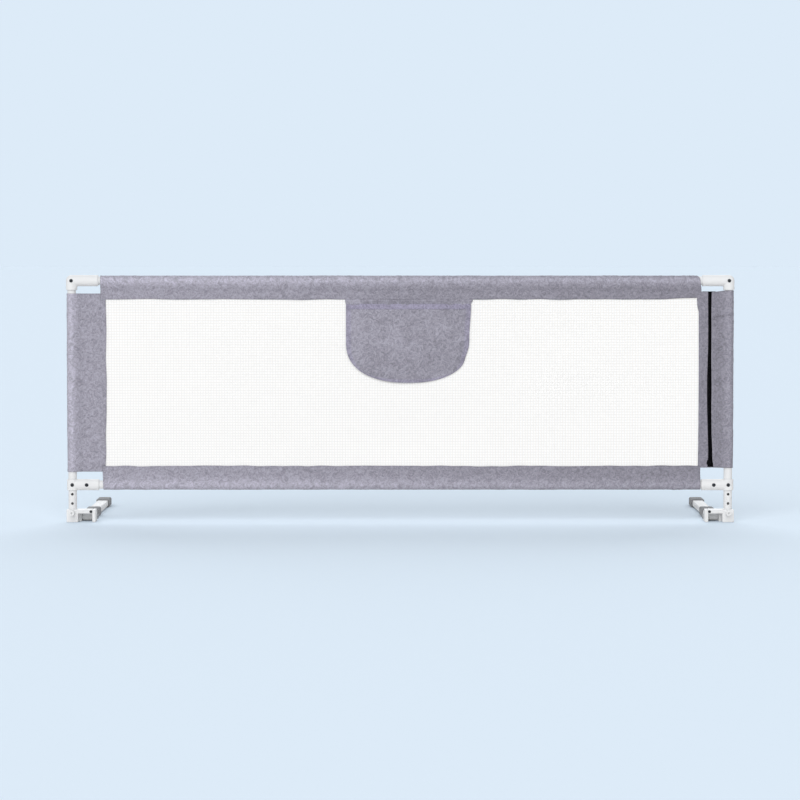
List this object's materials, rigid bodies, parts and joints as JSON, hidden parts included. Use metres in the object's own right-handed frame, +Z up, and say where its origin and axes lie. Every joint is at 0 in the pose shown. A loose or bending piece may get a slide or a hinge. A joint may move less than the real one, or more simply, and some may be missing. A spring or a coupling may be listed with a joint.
{
  "type": "folding bed guard rail",
  "caption": "Bed guard rail: mesh and fabric cover with a patch pocket and zip on a tubular frame, on foot brackets with folding under-mattress arms.",
  "frame": {"origin": "at floor level, under the middle of the whole rail's bounding box with its arms folded out", "axes": "+X along the rail, +Y towards the bed and along the base arms, +Z up"},
  "size_m": [1.504, 0.4776, 0.5565],
  "materials": {
    "white_paint": "white powder coat, satin",
    "white_plastic": "moulded, fine matt grain",
    "grey_fabric": "grey-mauve melange woven polyester",
    "hem_fabric": "grey-mauve melange woven polyester, folded and stitched",
    "mesh_fabric": "white polyester mesh",
    "zip_tape": "black woven zip tape",
    "zip_black": "black nylon",
    "dark_steel": "black-oxide steel",
    "spring_steel": "zinc-plated steel",
    "grey_plastic": "moulded grey",
    "grey_rubber": "soft grey rubber"
  },
  "bodies": {
    "panel": {"mesh_panel": "mesh_fabric", "top_sleeve": "grey_fabric", "bottom_sleeve": "grey_fabric", "left_sleeve": "grey_fabric", "right_sleeve": "grey_fabric", "right_zip_flap": "grey_fabric", "pocket": "grey_fabric", "pocket_hem": "hem_fabric", "zip_tape_inner": "zip_tape", "zip_tape_outer": "zip_tape", "zip_chain": "zip_black", "top_rail_joiner": "spring_steel", "bottom_rail_joiner": "spring_steel", "left_post": "white_paint", "left_post_plug": "white_plastic", "left_top_rail": "white_paint", "left_bottom_rail": "white_paint", "left_elbow": "white_plastic", "left_elbow_screw": "dark_steel", "left_tee": "white_plastic", "left_tee_post_screw": "dark_steel", "left_tee_rail_screw": "dark_steel", "right_post": "white_paint", "right_post_plug": "white_plastic", "right_top_rail": "white_paint", "right_bottom_rail": "white_paint", "right_elbow": "white_plastic", "right_elbow_screw": "dark_steel", "right_tee": "white_plastic", "right_tee_post_screw": "dark_steel", "right_tee_rail_screw": "dark_steel"},
    "zip_slider": {"zip_slider": "zip_black"},
    "left_bracket": {"left_bracket": "white_plastic", "left_ear_plate": "white_plastic", "left_ear_screw": "dark_steel", "left_hinge_pin": "spring_steel", "left_plunger_spring": "spring_steel"},
    "left_plunger": {"left_plunger": "white_plastic"},
    "left_fold_button": {"left_fold_button": "grey_plastic"},
    "left_arm": {"left_knuckle": "white_plastic", "left_fold_spring": "spring_steel", "left_arm_tube": "white_paint", "left_arm_end_cap": "white_plastic", "left_inner_grip": "grey_rubber", "left_outer_grip": "grey_rubber"},
    "right_bracket": {"right_bracket": "white_plastic", "right_ear_plate": "white_plastic", "right_ear_screw": "dark_steel", "right_hinge_pin": "spring_steel", "right_plunger_spring": "spring_steel"},
    "right_plunger": {"right_plunger": "white_plastic"},
    "right_fold_button": {"right_fold_button": "grey_plastic"},
    "right_arm": {"right_knuckle": "white_plastic", "right_fold_spring": "spring_steel", "right_arm_tube": "white_paint", "right_arm_end_cap": "white_plastic", "right_inner_grip": "grey_rubber", "right_outer_grip": "grey_rubber"}
  },
  "joints": [
    {"name": "left_height_slide", "type": "slide", "parent": "panel", "child": "left_bracket", "axis": [0, 0, 1], "range_m": [0, 0.042]},
    {"name": "left_arm_fold", "type": "hinge", "parent": "left_bracket", "child": "left_arm", "pos_m": [-0.707, -0.1835, 0.01], "axis": [1, 0, 0], "range_deg": [-180, 90]},
    {"name": "left_plunger_pull", "type": "slide", "parent": "left_bracket", "child": "left_plunger", "axis": [0, -1, 0], "range_m": [0, 0.0025], "stiffness_N_per_m": 2500, "springref_m": -0.002, "deforming": ["left_plunger_spring"]},
    {"name": "left_fold_release", "type": "slide", "parent": "left_bracket", "child": "left_fold_button", "axis": [-1, 0, 0], "range_m": [0, 0.003], "stiffness_N_per_m": 1500, "springref_m": -0.002, "deforming": ["left_fold_spring"]},
    {"name": "right_height_slide", "type": "slide", "parent": "panel", "child": "right_bracket", "axis": [0, 0, 1], "range_m": [0, 0.042]},
    {"name": "right_arm_fold", "type": "hinge", "parent": "right_bracket", "child": "right_arm", "pos_m": [0.707, -0.1835, 0.01], "axis": [1, 0, 0], "range_deg": [-180, 90]},
    {"name": "right_plunger_pull", "type": "slide", "parent": "right_bracket", "child": "right_plunger", "axis": [0, -1, 0], "range_m": [0, 0.0025], "stiffness_N_per_m": 2500, "springref_m": -0.002, "deforming": ["right_plunger_spring"]},
    {"name": "right_fold_release", "type": "slide", "parent": "right_bracket", "child": "right_fold_button", "axis": [1, 0, 0], "range_m": [0, 0.003], "stiffness_N_per_m": 1500, "springref_m": -0.002, "deforming": ["right_fold_spring"]},
    {"name": "zip_slide", "type": "slide", "parent": "panel", "child": "zip_slider", "axis": [0, 0, 1], "range_m": [0, 0.376]}
  ]
}
